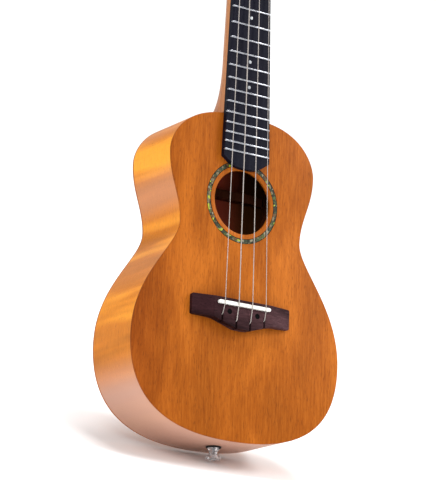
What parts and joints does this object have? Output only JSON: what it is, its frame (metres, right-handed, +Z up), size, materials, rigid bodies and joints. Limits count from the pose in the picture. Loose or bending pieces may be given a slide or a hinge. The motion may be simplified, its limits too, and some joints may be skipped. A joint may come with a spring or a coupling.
{
  "type": "concert ukulele",
  "caption": "Concert ukulele with hollow wooden body, round soundhole, fretted neck, slotted bridge, nylon strings and geared tuning machines that turn.",
  "frame": {"origin": "on the centre line, on the neck's top surface (the soundboard's outer plane), at the front edge of the nut, where a stand's or wall hanger's yoke holds the neck under the headstock", "axes": "+Z up along the neck towards the headstock, -Y out of the soundboard, +X towards the treble side seen from the front"},
  "size_m": [0.216, 0.0769, 0.6237],
  "materials": {
    "top_wood": "satin open-pored mahogany",
    "side_wood": "satin mahogany with light ribbon figure",
    "neck_wood": "satin mahogany",
    "inside_wood": "bare spruce",
    "shell": "green and grey shell mosaic",
    "rosewood": "oiled dark rosewood",
    "blackened_board": "blackened satin hardwood",
    "bone": "polished white bone",
    "black_plastic": "matt",
    "felt": "felt",
    "clear_acrylic": "clear",
    "fret_metal": "polished nickel silver",
    "nylon": "clear nylon",
    "tuner_metal": "chrome plate",
    "button_plastic": "pearl white plastic"
  },
  "bodies": {
    "root": {"soundboard": "top_wood", "back_plate": "side_wood", "side_bass": "side_wood", "side_treble": "side_wood", "neck": "neck_wood", "neck_block": "neck_wood", "tail_block": "neck_wood", "lining_top_bass": "inside_wood", "lining_top_treble": "inside_wood", "lining_back_bass": "inside_wood", "lining_back_treble": "inside_wood", "top_brace_upper": "inside_wood", "top_brace_lower": "inside_wood", "back_brace_upper": "inside_wood", "back_brace_lower": "inside_wood", "bridge_plate": "inside_wood", "rosette": "shell", "bridge": "rosewood", "headstock_veneer": "rosewood", "fretboard": "blackened_board", "nut": "bone", "saddle": "bone", "bridge_bolt_cap_bass": "black_plastic", "bridge_bolt_cap_treble": "black_plastic", "strap_washer": "felt", "strap_button": "clear_acrylic", "fret_01": "fret_metal", "fret_02": "fret_metal", "fret_03": "fret_metal", "fret_04": "fret_metal", "fret_05": "fret_metal", "fret_06": "fret_metal", "fret_07": "fret_metal", "fret_08": "fret_metal", "fret_09": "fret_metal", "fret_10": "fret_metal", "fret_11": "fret_metal", "fret_12": "fret_metal", "fret_13": "fret_metal", "fret_14": "fret_metal", "fret_15": "fret_metal", "fret_16": "fret_metal", "fret_17": "fret_metal", "fret_18": "fret_metal", "string_g": "nylon", "string_c": "nylon", "string_e": "nylon", "string_a": "nylon", "tuner_plate_g": "tuner_metal", "tuner_plate_c": "tuner_metal", "tuner_plate_e": "tuner_metal", "tuner_plate_a": "tuner_metal"},
    "button_g": {"tuner_button_g": "button_plastic"},
    "post_g": {"tuner_post_g": "tuner_metal"},
    "button_c": {"tuner_button_c": "button_plastic"},
    "post_c": {"tuner_post_c": "tuner_metal"},
    "button_e": {"tuner_button_e": "button_plastic"},
    "post_e": {"tuner_post_e": "tuner_metal"},
    "button_a": {"tuner_button_a": "button_plastic"},
    "post_a": {"tuner_post_a": "tuner_metal"}
  },
  "joints": [
    {"name": "turn_button_g", "type": "hinge", "parent": "root", "child": "button_g", "pos_m": [-0.015, 0.0243, 0.04298], "axis": [1, 0, 0], "continuous": true},
    {"name": "turn_post_g", "type": "hinge", "parent": "root", "child": "post_g", "pos_m": [-0.015, 0.02296, 0.03667], "axis": [0, -0.9781, 0.2079], "continuous": true},
    {"name": "turn_button_c", "type": "hinge", "parent": "root", "child": "button_c", "pos_m": [-0.015, 0.0322, 0.08015], "axis": [1, 0, 0], "continuous": true},
    {"name": "turn_post_c", "type": "hinge", "parent": "root", "child": "post_c", "pos_m": [-0.015, 0.03086, 0.07384], "axis": [0, -0.9781, 0.2079], "continuous": true},
    {"name": "turn_button_e", "type": "hinge", "parent": "root", "child": "button_e", "pos_m": [0.015, 0.0322, 0.08015], "axis": [1, 0, 0], "continuous": true},
    {"name": "turn_post_e", "type": "hinge", "parent": "root", "child": "post_e", "pos_m": [0.015, 0.03086, 0.07384], "axis": [0, -0.9781, 0.2079], "continuous": true},
    {"name": "turn_button_a", "type": "hinge", "parent": "root", "child": "button_a", "pos_m": [0.015, 0.0243, 0.04298], "axis": [1, 0, 0], "continuous": true},
    {"name": "turn_post_a", "type": "hinge", "parent": "root", "child": "post_a", "pos_m": [0.015, 0.02296, 0.03667], "axis": [0, -0.9781, 0.2079], "continuous": true}
  ],
  "couplings": [
    {"joint": "turn_post_g", "follows": "turn_button_g", "ratio": 0.071429},
    {"joint": "turn_post_c", "follows": "turn_button_c", "ratio": 0.071429},
    {"joint": "turn_post_e", "follows": "turn_button_e", "ratio": 0.071429},
    {"joint": "turn_post_a", "follows": "turn_button_a", "ratio": 0.071429}
  ]
}
